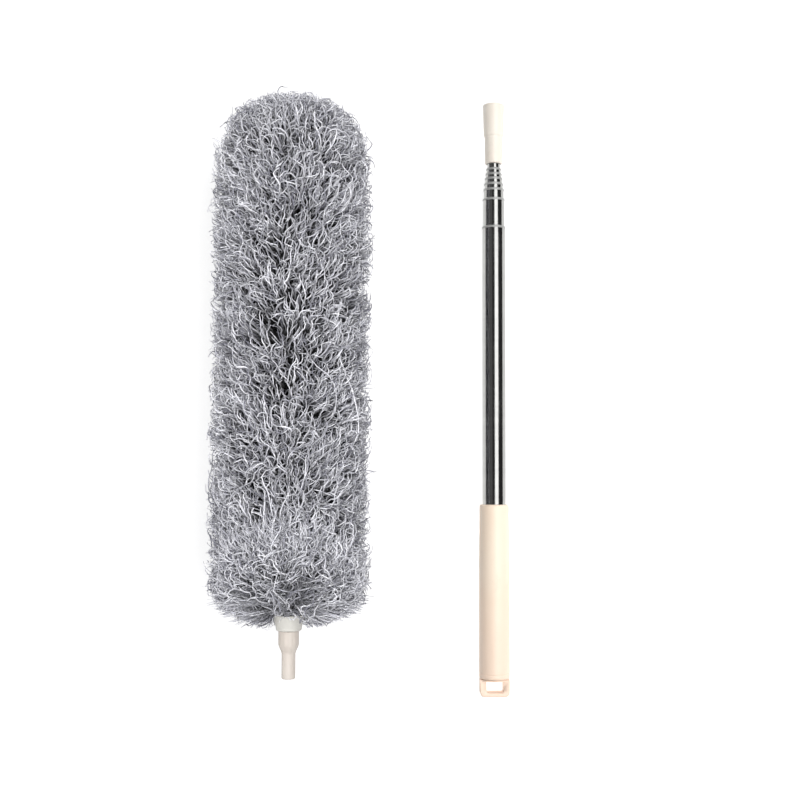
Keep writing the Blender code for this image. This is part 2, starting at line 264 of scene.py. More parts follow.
def floor_paint():
    """White paper that also glows, so that it shows white under a soft light."""
    paint = Paint("studio_paper")
    grain = paint.noise((300.0, 300.0, 300.0), 4.0)
    paint.set(Base_Color=paint.mix(grain, (0.885, 0.885, 0.885), (0.905, 0.905, 0.905)),
              Roughness=paint.spread(grain, 0.3, 0.7, 0.85, 0.95), Specular_IOR_Level=0.1,
              Emission_Color=(1.0, 1.0, 1.0), Emission_Strength=0.85)
    return paint.material


STEEL = steel_paint("drawn_stainless", light=(0.50, 0.50, 0.485), dark=(0.39, 0.39, 0.38), gloss=0.10)
RIM_STEEL = steel_paint("rolled_rim_stainless", light=(0.50, 0.50, 0.49), dark=(0.43, 0.43, 0.42), gloss=0.40,
                        metal=0.55)
WIRE_STEEL = steel_paint("spring_wire_steel", light=(0.42, 0.42, 0.41), dark=(0.28, 0.28, 0.28), gloss=0.32)
# The grip and loop take painted warm shade, pinker and slightly darker from just above the grip's middle down
# to its foot, and fully below it.
CREAM = plastic_paint("cream_moulded_plastic", light=(0.93, 0.79, 0.64), warm=(0.92, 0.755, 0.60),
                      grime=(0.74, 0.59, 0.46), roughness=0.34,
                      painted_warm_shade=((0.925, 0.725, 0.585), middle("grip").y + 0.02, span("grip")[0] - 0.01))
SOCKET_CREAM = plastic_paint("pale_cream_plastic", light=(0.86, 0.80, 0.71), warm=(0.85, 0.77, 0.68),
                             grime=(0.78, 0.70, 0.60), roughness=0.30)
IVORY = plastic_paint("ivory_moulded_plastic", light=(0.50, 0.455, 0.415), warm=(0.475, 0.425, 0.38),
                      grime=(0.38, 0.35, 0.31), roughness=0.40)
COLLAR_IVORY = plastic_paint("grey_ivory_plastic", light=(0.53, 0.52, 0.485), warm=(0.50, 0.485, 0.45),
                             grime=(0.40, 0.39, 0.36), roughness=0.45)
NYLON = plastic_paint("natural_nylon", light=(0.70, 0.68, 0.62), warm=(0.66, 0.63, 0.57),
                      grime=(0.48, 0.45, 0.40), roughness=0.50)
YARN = yarn_paint("grey_microfibre_yarn", shade=(0.14, 0.14, 0.165), light=(0.93, 0.93, 0.965),
                  cool=(0.48, 0.48, 0.56))
# The backing tape is a real part; its near-black colour is painted shade, for the deep gaps of the pile that
# it shows through.
TAPE = cloth_paint("backing_tape_in_painted_shade", thread=(0.10, 0.10, 0.11), gap=(0.02, 0.02, 0.02))

# ---------------------------------------------------------------- mesh helpers


def mesh_object(name, points, faces, material, smooth_angle=40.0):
    """A smooth-shaded mesh object with one material. Edges sharper than the angle, in degrees, stay sharp."""
    mesh = bpy.data.meshes.new(name)
    mesh.from_pydata([tuple(p) for p in points], [], faces)
    mesh.validate()
    mesh.shade_smooth()
    mesh.set_sharp_from_angle(angle=math.radians(smooth_angle))
    mesh.materials.append(material)
    thing = bpy.data.objects.new(name, mesh)
    bpy.context.scene.collection.objects.link(thing)
    return thing


def rounded(outline, radius, steps=3):
    """An outline with its corners rounded. A point may carry its own corner radius as a third number."""
    result = [tuple(outline[0][:2])]
    for before, corner, after in zip(outline, outline[1:], outline[2:]):
        here = np.array(corner[:2])
        cut = corner[2] if len(corner) > 2 else radius
        back = np.array(before[:2]) - here
        on = np.array(after[:2]) - here
        reach_back = min(cut, 0.45 * np.linalg.norm(back))
        reach_on = min(cut, 0.45 * np.linalg.norm(on))
        one = here + back / np.linalg.norm(back) * reach_back
        two = here + on / np.linalg.norm(on) * reach_on
        for k in range(steps + 1):
            t = k / steps
            result.append(tuple((1 - t) ** 2 * one + 2 * t * (1 - t) * here + t * t * two))
    result.append(tuple(outline[-1][:2]))
    return result


def lathe(name, outline, centre, material, sides=96, shape=None):
    """A body turned about an axis along Y at centre (x, z). Outline points are (y, radius). A body with a bore
    has an outline that starts and ends at the same point. shape(y, radius, angle) may change a radius."""
    closed = outline[0] == outline[-1]
    rows = outline[:-1] if closed else outline
    angles = np.linspace(0.0, 2 * math.pi, sides, endpoint=False)
    points, rings = [], []
    for y, radius in rows:
        if radius == 0.0:
            rings.append([len(points)] * sides)
            points.append((centre[0], y, centre[1]))
            continue
        radii = np.full(sides, radius) if shape is None else shape(y, radius, angles)
        rings.append(list(range(len(points), len(points) + sides)))
        points += list(zip(centre[0] + radii * np.cos(angles), np.full(sides, y),
                           centre[1] + radii * np.sin(angles)))
    faces = []
    pairs = list(zip(rings, rings[1:])) + ([(rings[-1], rings[0])] if closed else [])
    for one, other in pairs:
        for k in range(sides):
            n = (k + 1) % sides
            faces.append(tuple(dict.fromkeys((one[k], one[n], other[n], other[k]))))
    thing = mesh_object(name, points, faces, material)
    maker = bmesh.new()
    maker.from_mesh(thing.data)
    bmesh.ops.recalc_face_normals(maker, faces=maker.faces)
    maker.to_mesh(thing.data)
    maker.free()
    return thing


def carry(thing, body, slot, *nodes):
    """A rigid piece: it rides on a body and replaces the nodes that are named. The slot that it is given is
    not used.
    """
    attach(thing, body)
    if nodes:
        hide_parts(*nodes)
    return thing


# ---------------------------------------------------------------- the pole
TUBE_WALL, TUBE_CHAMFER = 0.00035, 0.0001
RIM_LENGTH, RIM_BEAD = 0.0024, 0.0003
TUBE_FIT = 0.0003
SLEEVE_RADIUS, CUP_FOOT_RADIUS, CUP_RADIUS, CUP_MOUTH_RADIUS = 0.0090, 0.0100, 0.01025, 0.0110
CUP_LENGTH, SOCKET_DEPTH, SOCKET_BORE = 0.0327, 0.0270, 0.00695
SOCKET_WEB, WEB_HOLE = 0.0020, 0.0020
GRIP_RING, RING_HALF, RING_GROOVE = 0.0052, 0.0005, 0.00035
GRIP_STRAIGHT, GRIP_NECK, NECK_DROP = 0.1150, 0.0210, 0.0005
SEAM_HEIGHT, SEAM_WIDTH = 0.00008, 0.018
LOOP_HALF_THICKNESS, LOOP_SOFT_EDGE = 0.0070, 0.0011
LOOP_BAR, WINDOW_END, WINDOW_HALF_WIDTH = 0.0044, 0.0160, 0.0084
LOOP_CORNER, WINDOW_CORNER, CORNER_STEPS = 0.0046, 0.0016, 8
FLANGE_THICKNESS, LOOP_STEM_END = 0.0012, 0.0360


def make_steel_tube(number):
    """A drawn tube with a small chamfer at its foot and a rolled bead at its mouth, but for the thinnest."""
    node = f"tube_{number}"
    foot, mouth = span(node)
    outer = reach(node) if number == 1 else reach(node) - RIM_BEAD
    bore = outer - TUBE_WALL
    lip = outer + RIM_BEAD
    outside = [(foot, outer - TUBE_CHAMFER), (foot + 2 * TUBE_CHAMFER, outer)]
    if number == 1:
        outside += [(mouth - 2 * TUBE_CHAMFER, outer), (mouth, outer - TUBE_CHAMFER)]
    else:
        outside += [(mouth - RIM_LENGTH - 0.0003, outer), (mouth - RIM_LENGTH, outer + 0.00005),
                    (mouth - 0.80 * RIM_LENGTH, lip), (mouth - 0.20 * RIM_LENGTH, lip),
                    (mouth - 0.05 * RIM_LENGTH, outer + 0.0001), (mouth, outer - 0.00005)]
    outline = rounded([(foot, bore)] + outside + [(mouth, bore), (foot, bore)], 0.00035, 2)
    tube = lathe(f"steel_{node}", outline, POLE, STEEL, 96)
    if number > 1:
        tube.data.materials.append(RIM_STEEL)
        for face in tube.data.polygons:
            if face.center.y > mouth - RIM_LENGTH and face.normal.x ** 2 + face.normal.z ** 2 > 0.2:
                face.material_index = 1
    carry(tube, BODY_OF_TUBE[number], "stainless", node)


def make_socket():
    """The tip socket: a sleeve, a step, and a cup whose mouth is a smooth thick lip."""
    start, end = span("socket_adapter")
    cup = end - CUP_LENGTH
    seat = reach("tube_1") + TUBE_FIT
    web_end = end - SOCKET_DEPTH
    web_start = web_end - SOCKET_WEB
    outline = [
        (start, seat), (start, SLEEVE_RADIUS - 0.0010), (start + 0.0010, SLEEVE_RADIUS - 0.00015, 0.0012),
        (cup - 0.0008, SLEEVE_RADIUS, 0.0006), (cup + 0.0010, CUP_FOOT_RADIUS, 0.0010),
        (cup + 0.0110, CUP_RADIUS, 0.004), (end, CUP_MOUTH_RADIUS, 0.0010),
        (end, SOCKET_BORE + 0.00095, 0.0008), (end - 0.0012, SOCKET_BORE, 0.0006), (web_end, SOCKET_BORE),
        (web_end, WEB_HOLE), (web_start, WEB_HOLE), (web_start, seat), (start, seat),
    ]
    socket = lathe("socket_cup", rounded(outline, 0.0004, 4), POLE, SOCKET_CREAM, 128)
    carry(socket, "tip_section", "cream_plastic", "socket_adapter")


def make_grip():
    """The grip: a long moulded sleeve with a soft lip at its top, a faint parting line and a ring near its
    foot."""
    start, end = span("grip")
    bore = reach("tube_8")
    outer = reach("grip")
    ring = start + GRIP_RING
    outline = [
        (start, bore), (start, outer - 0.0010), (start + 0.0012, outer - 0.00005, 0.0016),
        (ring - RING_HALF, outer), (ring - 0.0002, outer - RING_GROOVE), (ring + 0.0002, outer - RING_GROOVE),
        (ring + RING_HALF, outer), (start + GRIP_STRAIGHT, outer, 0.03),
        (end - GRIP_NECK, outer - NECK_DROP, 0.012), (end - 0.0016, outer - 0.00065, 0.0012),
        (end, outer - 0.0016, 0.0010), (end, bore + 0.0003, 0.0003), (end - 0.0006, bore), (start, bore),
    ]

    def parting(y, radius, angles):
        """A seam down each side, on the outside only."""
        seam = np.exp(-(np.sin(angles) / SEAM_WIDTH) ** 2)
        return radius + (SEAM_HEIGHT if radius > bore + 0.002 else 0.0) * seam

    grip = lathe("moulded_grip", rounded(outline, 0.0003, 3), POLE, CREAM, 192, parting)
    carry(grip, "handle", "cream_plastic", "grip")


def foot_of_loop(half, low, high, corner):
    """A U-shaped line round the foot of the loop, from one side to the other, with two rounded corners."""
    line = [(half, high)]
    for side, first in ((1, 0), (-1, -90)):
        for turn in np.radians(np.linspace(first, first - 90, CORNER_STEPS + 1)):
            line.append((side * (half - corner) + corner * math.cos(turn),
                         low + corner + corner * math.sin(turn)))
    return line + [(-half, high)]


def make_loop():
    """The hanging loop: a tab with a rounded window and soft edges, on a round flange with a stem."""
    start = span("hanging_loop")[0]
    half = reach("hanging_loop") - 0.0001
    stem = reach("tube_8") - TUBE_FIT
    window_end = start + WINDOW_END
    outer = foot_of_loop(half, start, window_end + 0.0008, LOOP_CORNER)
    inner = foot_of_loop(WINDOW_HALF_WIDTH, start + LOOP_BAR, window_end + 0.0004, WINDOW_CORNER)
    maker = bmesh.new()
    layers = []
    for z in (-LOOP_HALF_THICKNESS, LOOP_HALF_THICKNESS):
        layers.append([[maker.verts.new((x, y, z)) for x, y in loop] for loop in (outer, inner)])
    count = len(outer)
    for k in range(count - 1):
        for loops, flip in ((layers[0], False), (layers[1], True)):
            quad = [loops[0][k], loops[0][k + 1], loops[1][k + 1], loops[1][k]]
            maker.faces.new(quad[::-1] if flip else quad)
        maker.faces.new((layers[0][0][k], layers[1][0][k], layers[1][0][k + 1], layers[0][0][k + 1]))
        maker.faces.new((layers[0][1][k], layers[0][1][k + 1], layers[1][1][k + 1], layers[1][1][k]))
    for k in (0, count - 1):
        maker.faces.new((layers[0][0][k], layers[0][1][k], layers[1][1][k], layers[1][0][k]))
    bmesh.ops.recalc_face_normals(maker, faces=maker.faces)
    soft = [e for e in maker.edges if len(e.link_faces) == 2 and e.calc_face_angle(0.0) > 1.0
            and max(v.co.y for v in e.verts) < window_end + 0.0003]
    bmesh.ops.bevel(maker, geom=soft, offset=LOOP_SOFT_EDGE, segments=4, profile=0.5, affect="EDGES")
    mesh = bpy.data.meshes.new("hanging_tab")
    maker.to_mesh(mesh)
    maker.free()
    mesh.transform(Matrix.Translation((POLE_X, 0.0, POLE_Z)))
    mesh.shade_smooth()
    mesh.set_sharp_from_angle(angle=math.radians(40))
    mesh.materials.append(CREAM)
    tab = bpy.data.objects.new("hanging_tab", mesh)
    bpy.context.scene.collection.objects.link(tab)
    flange_top, stem_end = window_end + FLANGE_THICKNESS, start + LOOP_STEM_END
    flange = [
        (window_end, 0.0), (window_end, half + 0.0001, 0.0004), (flange_top, half + 0.0001, 0.0004),
        (flange_top, stem, 0.0002), (stem_end, stem, 0.0006), (stem_end, 0.0),
    ]
    disc = lathe("loop_flange", rounded(flange, 0.0003, 3), POLE, CREAM, 128)
    carry(tab, "handle", "cream_plastic", "hanging_loop")
    carry(disc, "handle", "cream_plastic")


for number in BODY_OF_TUBE:
    make_steel_tube(number)
make_socket()
make_grip()
make_loop()

# ---------------------------------------------------------------- the head's foot and core
SPIGOT_LENGTH, SPIGOT_RADIUS, SPIGOT_BORE, SPIGOT_BORE_DEPTH = 0.0240, 0.00655, 0.0044, 0.0180
TAPER_END, BODY_RADIUS, BODY_BORE, CONNECTOR_BORE = 0.0313, 0.0098, 0.0086, 0.0019
TAPER_RIB, SPIGOT_RIB, RIBS = 0.00018, 0.00008, 6
COLLAR_SEAT, COLLAR_FLOOR, COLLAR_FOOT_RADIUS, COLLAR_MOUTH_RADIUS = 0.0089, 0.0090, 0.01215, 0.0150
WIRE_RADIUS, SLEEVE_BORE, CORE_RADIUS = 0.0016, 0.0030, 0.0085
TAPE_PITCH, TAPE_SINK, TAPE_RIDGE = 0.0062, 0.0009, 0.0011


def make_connector():
    """The hollow spigot, with fine ribs up its taper, and the round body under the collar."""
    start, end = span("connector")
    spigot_end, taper_end = start + SPIGOT_LENGTH, start + TAPER_END
    shoulder = span("collar")[0] - 0.0003
    recess = start + SPIGOT_BORE_DEPTH
    outline = [
        (start, SPIGOT_BORE), (start, SPIGOT_RADIUS - 0.00045, 0.0004),
        (start + 0.0008, SPIGOT_RADIUS, 0.0004), (start + 0.0100, SPIGOT_RADIUS),
        (spigot_end, SPIGOT_RADIUS, 0.0015), (taper_end, BODY_RADIUS, 0.0020),
        (taper_end + 0.0060, BODY_RADIUS), (shoulder - 0.0010, BODY_RADIUS, 0.0004),
        (shoulder, BODY_RADIUS + 0.0009, 0.0003), (shoulder, BODY_BORE), (end, BODY_BORE),
        (end, CONNECTOR_BORE), (recess, CONNECTOR_BORE), (recess, SPIGOT_BORE), (start, SPIGOT_BORE),
    ]

    def ribs(y, radius, angles):
        """Shallow flutes between ribs, on the outside below the shoulder."""
        if radius < 0.0060 or y > shoulder - 0.0020:
            return np.full(len(angles), radius)
        depth = TAPER_RIB if y > spigot_end else SPIGOT_RIB
        return radius - depth * np.clip(1.6 * np.cos(RIBS * angles) ** 8, 0.0, 1.0)

    connector = lathe("ribbed_connector", rounded(outline, 0.0003, 3), HEAD, IVORY, 192, ribs)
    carry(connector, "head", "ivory_plastic", "connector")


def make_collar():
    """The flared collar, thin at its mouth, with a bead at its foot."""
    start, end = span("collar")
    outline = [
        (start, COLLAR_SEAT), (start, COLLAR_FOOT_RADIUS - 0.00025, 0.0003),
        (start + 0.0014, COLLAR_FOOT_RADIUS + 0.0001, 0.0005), (start + 0.0020, COLLAR_FOOT_RADIUS, 0.0004),
        (start + 0.0080, 0.0136, 0.0040), (end, COLLAR_MOUTH_RADIUS, 0.0004),
        (end, COLLAR_MOUTH_RADIUS - 0.0016, 0.0004), (start + COLLAR_FLOOR, 0.0126),
        (start + COLLAR_FLOOR, COLLAR_SEAT), (start, COLLAR_SEAT),
    ]
    collar = lathe("flared_collar", rounded(outline, 0.0003, 3), HEAD, COLLAR_IVORY, 128)
    carry(collar, "head", "ivory_plastic", "collar")


def bending(thing, slot, *nodes):
    """A piece that crosses the bend: it replaces the nodes that are named, and its place is fixed into its
    points. The slot that it is given is not used.
    """
    if nodes:
        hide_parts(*nodes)
    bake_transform(thing)


def make_core():
    """The spring wire, and the sleeve round it with its backing tape wound in a close helix."""
    low, high = span("core_wire")
    wire = [(low, 0.0), (low, WIRE_RADIUS, 0.0003)]
    wire += [(y, WIRE_RADIUS) for y in np.linspace(low + 0.0050, high - 0.0050, 80)]
    wire += [(high, WIRE_RADIUS, 0.0003), (high, 0.0)]
    bending(lathe("bending_wire", rounded(wire, 0.0001, 1), HEAD, WIRE_STEEL, 20), "spring_wire", "core_wire")
    low, high = span("core_sleeve")

    def wound(y, radius, angles):
        """Ridges where the turns of tape overlap, on the outside only."""
        if radius < 0.0060:
            return np.full(len(angles), radius)
        ridge = np.abs(np.sin(math.pi * (y / TAPE_PITCH - angles / (2 * math.pi))))
        return radius - TAPE_SINK + TAPE_RIDGE * ridge ** 0.6

    sleeve = [(low, SLEEVE_BORE), (low, CORE_RADIUS)]
    sleeve += [(y, CORE_RADIUS) for y in np.arange(low + 0.0008, high - 0.0004, 0.0009)]
    sleeve += [(high, CORE_RADIUS), (high, SLEEVE_BORE)]
    sleeve += [(y, SLEEVE_BORE) for y in np.linspace(high - 0.0060, low + 0.0060, 60)]
    sleeve += [(low, SLEEVE_BORE)]
    bending(lathe("wound_sleeve", sleeve, HEAD, TAPE, 48, wound), "backing_cloth", "core_sleeve")


make_connector()
make_collar()
make_core()

# ---------------------------------------------------------------- the fringe
# Lengths along the head are measured from the foot of the pile, leans from straight out towards the tip in
# radians, and lengths of strands before they are fitted to the fringe's outline.
SEED = 20240611
LOCKS, STRANDS_EACH, UNDERCOAT_EVERY = 4300, 5, 4
RUFF_STRANDS, CUFF_STRANDS, WISPS = 460, 150, 190
STEPS = np.array([0.20, 0.16, 0.11, 0.08] + [0.045] * 10)
STIFF_STEPS = 3
SLICES = 11
GOLDEN_ANGLE = math.pi * (3.0 - math.sqrt(5.0))
FOOT_LENGTH, FOOT_POWER = 0.044, 2.0
DOME_LENGTH, DOME_POWER = 0.076, 2.6
LOWEST_ROOT, TOP_MARGIN = 0.0155, 0.044
TIP_CROWD, TIP_CROWD_LENGTH = 0.12, 0.024
FOOT_CROWD, FOOT_CROWD_LENGTH = 0.92, 0.016
DOME_CROWD_HALF, DOME_CROWD_START, DOME_CROWD_LENGTH = 0.04, 0.020, 0.065
ROOT_RADIUS, MOUTH_RADIUS = 0.0088, 0.0105
LOCK_TURN, LOCK_SWAY, LOCK_LEAN, LOCK_HEIGHT, LOCK_SHADE, LOCK_HOOK, LOCK_BOW = (
    0.22, 0.21, 0.17, 0.026, 0.10, 110.0, 6.0)
OWN_ROOT, OWN_TURN, OWN_SWAY, OWN_LEAN, OWN_HEIGHT, OWN_DROOP, OWN_PHASE, OWN_PITCH, OWN_CRIMP, OWN_HOOK = (
    0.0016, 0.11, 0.11, 0.10, 0.028, 0.14, 0.45, 0.07, 0.20, 55.0)
CRIMP_LEAST, CRIMP_SPREAD = (0.14, 0.08), (0.30, 0.22)
# Each of these pairs is a start and the change that is spread evenly from it.
CRIMP_PITCH, MOUTH_ROOT, CUFF_ROOT = (0.013, 0.016), (0.0130, 0.005), (0.0160, 0.0015)
LOCK_LENGTH, RUFF_LENGTH, WISP_LENGTH, CUFF_LENGTH = (
    (0.0790, 0.0120), (0.048, 0.032), (0.080, 0.022), (0.0085, 0.0055))
RUFF_START_LEAN, RUFF_END_LEAN = (0.95, -0.35), (0.50, 0.50)
WISP_START_LEAN, WISP_END_LEAN = (0.40, -0.35), (-0.15, -0.45)
CUFF_START_LEAN, CUFF_END_LEAN = 0.15, (-0.55, -0.50)
WISP_REACH = (0.97, 0.13)
CROWN_WIDTH, CROWN_LOCK_SWAY, CROWN_OWN_SWAY, FOOT_CALM = 0.40, 1.3, 1.5, 0.55
SIDE_SPREAD, TIP_ZONE_BLUR = 0.40, 0.10
START_LEAN, START_LEAN_AT_TIP = 0.14, 1.15
END_LEAN, END_LEAN_UPPER, END_LEAN_AT_TIP = 0.44, 0.16, 1.42
FOOT_LENGTHENING = 0.012
TIP_ZONE, TIP_ZONE_LENGTH = 0.125, 0.080
FOOT_ZONE, FOOT_ZONE_LENGTH = 0.066, 0.050
BARE_ZONE, BARE_ZONE_LENGTH = 0.044, 0.024
UPPER_DROOP, UNDERCOAT_DROOP, LOOSE_DROOP = 0.58, 0.45, 0.20
OUTLINE_SHARE, UNDERCOAT_SHORTER, STRAY_LONGER = 0.940, 0.105, 0.055
STRAND_THICKNESS, WISP_THICKNESS, THICKNESS_SPREAD = 0.00072, 0.00045, 0.00026
MIDDLE_TONE, TONE_SPREAD = 0.585, 0.37
FLOOR_GAP, SOFT_LANDING = 0.0012, 0.0060
STRAND_SIDES, STRAND_FLATNESS, END_TAPER = 3, 0.72, 0.50


def unit(vectors):
    return vectors / np.linalg.norm(vectors, axis=-1, keepdims=True)


def evenly(dice, pair, shape):
    """Values that are spread evenly over a pair's range."""
    return pair[0] + pair[1] * dice.random(shape)


def envelope_share(paths, length):
    """How far out each point lies: 0 in the middle and 1 on the outline, which is rounded at both ends."""
    centre = np.clip(paths[..., 1], FOOT_LENGTH, length - DOME_LENGTH)
    beyond = paths[..., 1] - centre
    cap = np.where(beyond < 0, FOOT_LENGTH, DOME_LENGTH)
    radius = np.hypot(paths[..., 0], paths[..., 2])
    power = np.where(beyond < 0, FOOT_POWER, DOME_POWER)
    return ((radius / PILE_RADIUS) ** power + (np.abs(beyond) / cap) ** power) ** (1 / power)


def draw_locks(dice, length):
    """What the strands of each lock share. More locks start near the foot and the tip, and some of the locks
    of the underside are moved to the top, where the fringe has to hide its core."""
    lowest, highest = LOWEST_ROOT, length - TOP_MARGIN
    root = lowest + (highest - lowest) * (np.arange(LOCKS) + dice.random(LOCKS)) / LOCKS
    group = dice.random(LOCKS)
    root = np.where(group < TIP_CROWD, highest - TIP_CROWD_LENGTH * dice.random(LOCKS), root)
    root = np.where(group > FOOT_CROWD, lowest + FOOT_CROWD_LENGTH * dice.random(LOCKS), root)
    root = np.where(abs(group - 0.50) < DOME_CROWD_HALF,
                    highest - DOME_CROWD_START - DOME_CROWD_LENGTH * dice.random(LOCKS), root)
    turn = GOLDEN_ANGLE * np.arange(LOCKS) + dice.normal(0.0, LOCK_TURN, LOCKS)
    lifted = dice.random(LOCKS) < np.clip(-0.75 * np.sin(turn) - 0.15, 0.0, 0.45)
    return {
        "root": root,
        "turn": np.where(lifted, -turn, turn),
        "sway": dice.normal(0.0, LOCK_SWAY, LOCKS),
        "lean": dice.normal(0.0, LOCK_LEAN, LOCKS),
        "tall": dice.normal(0.0, LOCK_HEIGHT, LOCKS),
        "shade": dice.normal(0.0, LOCK_SHADE, LOCKS),
        "phase": 2 * math.pi * dice.random((LOCKS, 2)),
        "pitch": evenly(dice, CRIMP_PITCH, (LOCKS, 2)),
        "crimp": np.abs(dice.normal(0.0, 1.0, (LOCKS, 2))) * CRIMP_SPREAD + CRIMP_LEAST,
        "hook": dice.normal(0.0, LOCK_HOOK, (LOCKS, 2)),
        "bow": dice.normal(0.0, LOCK_BOW, (LOCKS, 2)),
        "under": np.arange(LOCKS) % UNDERCOAT_EVERY == 0,
    }


class Strands:
    """Every strand's own values, drawn round its lock's. After the locks' strands come three loose kinds,
    which start at the collar's mouth: a ruff, a short cuff, which counts as ruff too, and smooth wisps."""

    def __init__(self, dice, locks, length):
        loose = RUFF_STRANDS + CUFF_STRANDS + WISPS
        lock = np.concatenate([np.repeat(np.arange(LOCKS), STRANDS_EACH), dice.integers(0, LOCKS, loose)])
        n = len(lock)
        number = np.arange(n)
        self.lock, self.count, self.length = lock, n, length
        self.wisp = number >= n - WISPS
        self.ruff = (number >= n - loose) & ~self.wisp
        self.cuff = self.ruff & (number >= n - WISPS - CUFF_STRANDS)
        self.loose = self.ruff | self.wisp
        self.under = locks["under"][lock] & ~self.loose
        self.place(dice, locks)
        self.direct(dice, locks)
        self.curl(dice, locks)

    def place(self, dice, locks):
        """Where each strand starts, and how near that is to the foot, the tip and the top of the head."""
        n, lock = self.count, self.lock
        root = locks["root"][lock] + dice.normal(0.0, OWN_ROOT, n)
        root = np.where(self.loose, evenly(dice, MOUTH_ROOT, n), root)
        self.root = np.where(self.cuff, evenly(dice, CUFF_ROOT, n), root)
        side_turn = dice.normal(0.0, SIDE_SPREAD, n) + math.pi * (dice.random(n) < 0.5)
        turn = locks["turn"][lock] + dice.normal(0.0, OWN_TURN, n)
        self.turn = np.where(self.ruff, 2 * math.pi * dice.random(n), np.where(self.wisp, side_turn, turn))
        self.outward = np.stack([np.cos(self.turn), np.zeros(n), np.sin(self.turn)], 1)
        self.sideways = np.stack([-np.sin(self.turn), np.zeros(n), np.cos(self.turn)], 1)
        self.start = self.outward * np.where(self.loose, MOUTH_RADIUS, ROOT_RADIUS)[:, None]
        self.start[:, 1] = self.root
        crown = np.exp(-(np.cos(self.turn) / CROWN_WIDTH) ** 2)
        own_sway = dice.normal(0.0, OWN_SWAY, n)
        sway = locks["sway"][lock] * (1 + CROWN_LOCK_SWAY * crown) + own_sway * (1 + CROWN_OWN_SWAY * crown)
        self.upper = np.clip(np.sin(self.turn), -0.35, 1.0)
        from_tip_zone = (self.root - (self.length - TIP_ZONE)) / TIP_ZONE_LENGTH
        self.near_tip = np.clip(from_tip_zone + dice.normal(0.0, TIP_ZONE_BLUR, n), 0.0, 1.0)
        self.near_foot = np.clip((FOOT_ZONE - self.root) / FOOT_ZONE_LENGTH, 0.0, 1.0)
        self.sway = sway * (1 - FOOT_CALM * self.near_foot)

    def direct(self, dice, locks):
        """How far each strand leans towards the tip at its start and its end, and how long it is."""
        n, foot, tip, upper = self.count, self.near_foot, self.near_tip, self.upper
        start_lean = START_LEAN + START_LEAN_AT_TIP * tip ** 1.2 + (1.00 * upper - 0.20) * foot
        end_lean = (END_LEAN + END_LEAN_UPPER * upper) * (1 - foot) + (-0.50 + 1.42 * upper) * foot
        end_lean = end_lean + (END_LEAN_AT_TIP - end_lean) * tip + locks["lean"][self.lock]
        end_lean = end_lean + dice.normal(0.0, OWN_LEAN, n)
        start_lean = self.by_kind(start_lean, ruff=evenly(dice, RUFF_START_LEAN, n),
                                  wisp=evenly(dice, WISP_START_LEAN, n))
        end_lean = self.by_kind(end_lean, ruff=evenly(dice, RUFF_END_LEAN, n),
                                wisp=evenly(dice, WISP_END_LEAN, n))
        total = evenly(dice, LOCK_LENGTH, n) + FOOT_LENGTHENING * foot
        self.start_lean = np.where(self.cuff, CUFF_START_LEAN, start_lean)
        self.end_lean = np.where(self.cuff, evenly(dice, CUFF_END_LEAN, n), end_lean)
        total = self.by_kind(total, ruff=evenly(dice, RUFF_LENGTH, n), wisp=evenly(dice, WISP_LENGTH, n))
        self.total = np.where(self.cuff, evenly(dice, CUFF_LENGTH, n), total)

    def curl(self, dice, locks):
        """How far each strand droops, and its crimp: two waves across one another, a bow and a hooked end."""
        n, lock = self.count, self.lock
        droop = np.where(self.under, UNDERCOAT_DROOP, UPPER_DROOP) + dice.normal(0.0, OWN_DROOP, n)
        droop = np.where(self.loose, LOOSE_DROOP, droop)
        self.droop = droop * np.maximum(self.upper, 0.0) * (1 - 0.7 * self.near_tip)
        self.phase = locks["phase"][lock] + dice.normal(0.0, OWN_PHASE, (n, 2))
        self.pitch = locks["pitch"][lock] * (1 + dice.normal(0.0, OWN_PITCH, (n, 2)))
        waved = np.where(self.wisp, 0.30, np.where(self.cuff, 0.5, 1.0))[:, None]
        self.crimp = locks["crimp"][lock] * (1 + dice.normal(0.0, OWN_CRIMP, (n, 2))) * waved
        hooked = np.where(self.wisp, 0.10, 1.0)[:, None]
        self.hook = (locks["hook"][lock] + dice.normal(0.0, OWN_HOOK, (n, 2))) * hooked
        self.bow = locks["bow"][lock] * np.where(self.wisp, 0.3, 1.0)[:, None]

    def by_kind(self, usual, ruff, wisp):
        return np.where(self.ruff, ruff, np.where(self.wisp, wisp, usual))


def grow(strands):
    """Each strand's points from its root to its end, before they are fitted to the fringe's outline."""
    outward, sideways = strands.outward, strands.sideways
    tipward, upward = np.array([0.0, 1.0, 0.0]), np.array([0.0, 0.0, 1.0])
    place, heading, done = strands.start, None, 0.0
    paths = [place]
    for k, step in enumerate(STEPS):
        t = done + step / 2
        done += step
        tilt = strands.start_lean + (strands.end_lean - strands.start_lean) * t ** 1.3
        side = strands.sway * t ** 1.2
        base = (outward * np.cos(tilt)[:, None] + tipward * np.sin(tilt)[:, None]) * np.cos(side)[:, None]
        base = unit(base + sideways * np.sin(side)[:, None] - upward * (strands.droop * t ** 1.5)[:, None])
        if heading is None:
            heading = base
        pull = 0.60 if k < STIFF_STEPS else 0.22
        heading = unit(heading * (1 - pull) + base * pull)
        ds = step * strands.total
        first = unit(np.cross(heading, tipward + 0.3 * outward))
        second = np.cross(heading, first)
        strength = np.clip((t - 0.30 + 0.24 * strands.near_foot) / 0.25, 0.0, 1.0)[:, None]
        ending = np.clip((t - 0.80) / 0.12, 0.0, 1.0)
        angle = 2 * math.pi * t * strands.total[:, None] / strands.pitch + strands.phase
        wave = strands.crimp * 2 * math.pi / strands.pitch * np.cos(angle)
        bend = (wave + strands.bow) * strength + strands.hook * ending
        heading = unit(heading + (first * bend[:, :1] + second * bend[:, 1:]) * ds[:, None])
        place = place + heading * ds[:, None]
        paths.append(place)
    return np.stack(paths, 1)


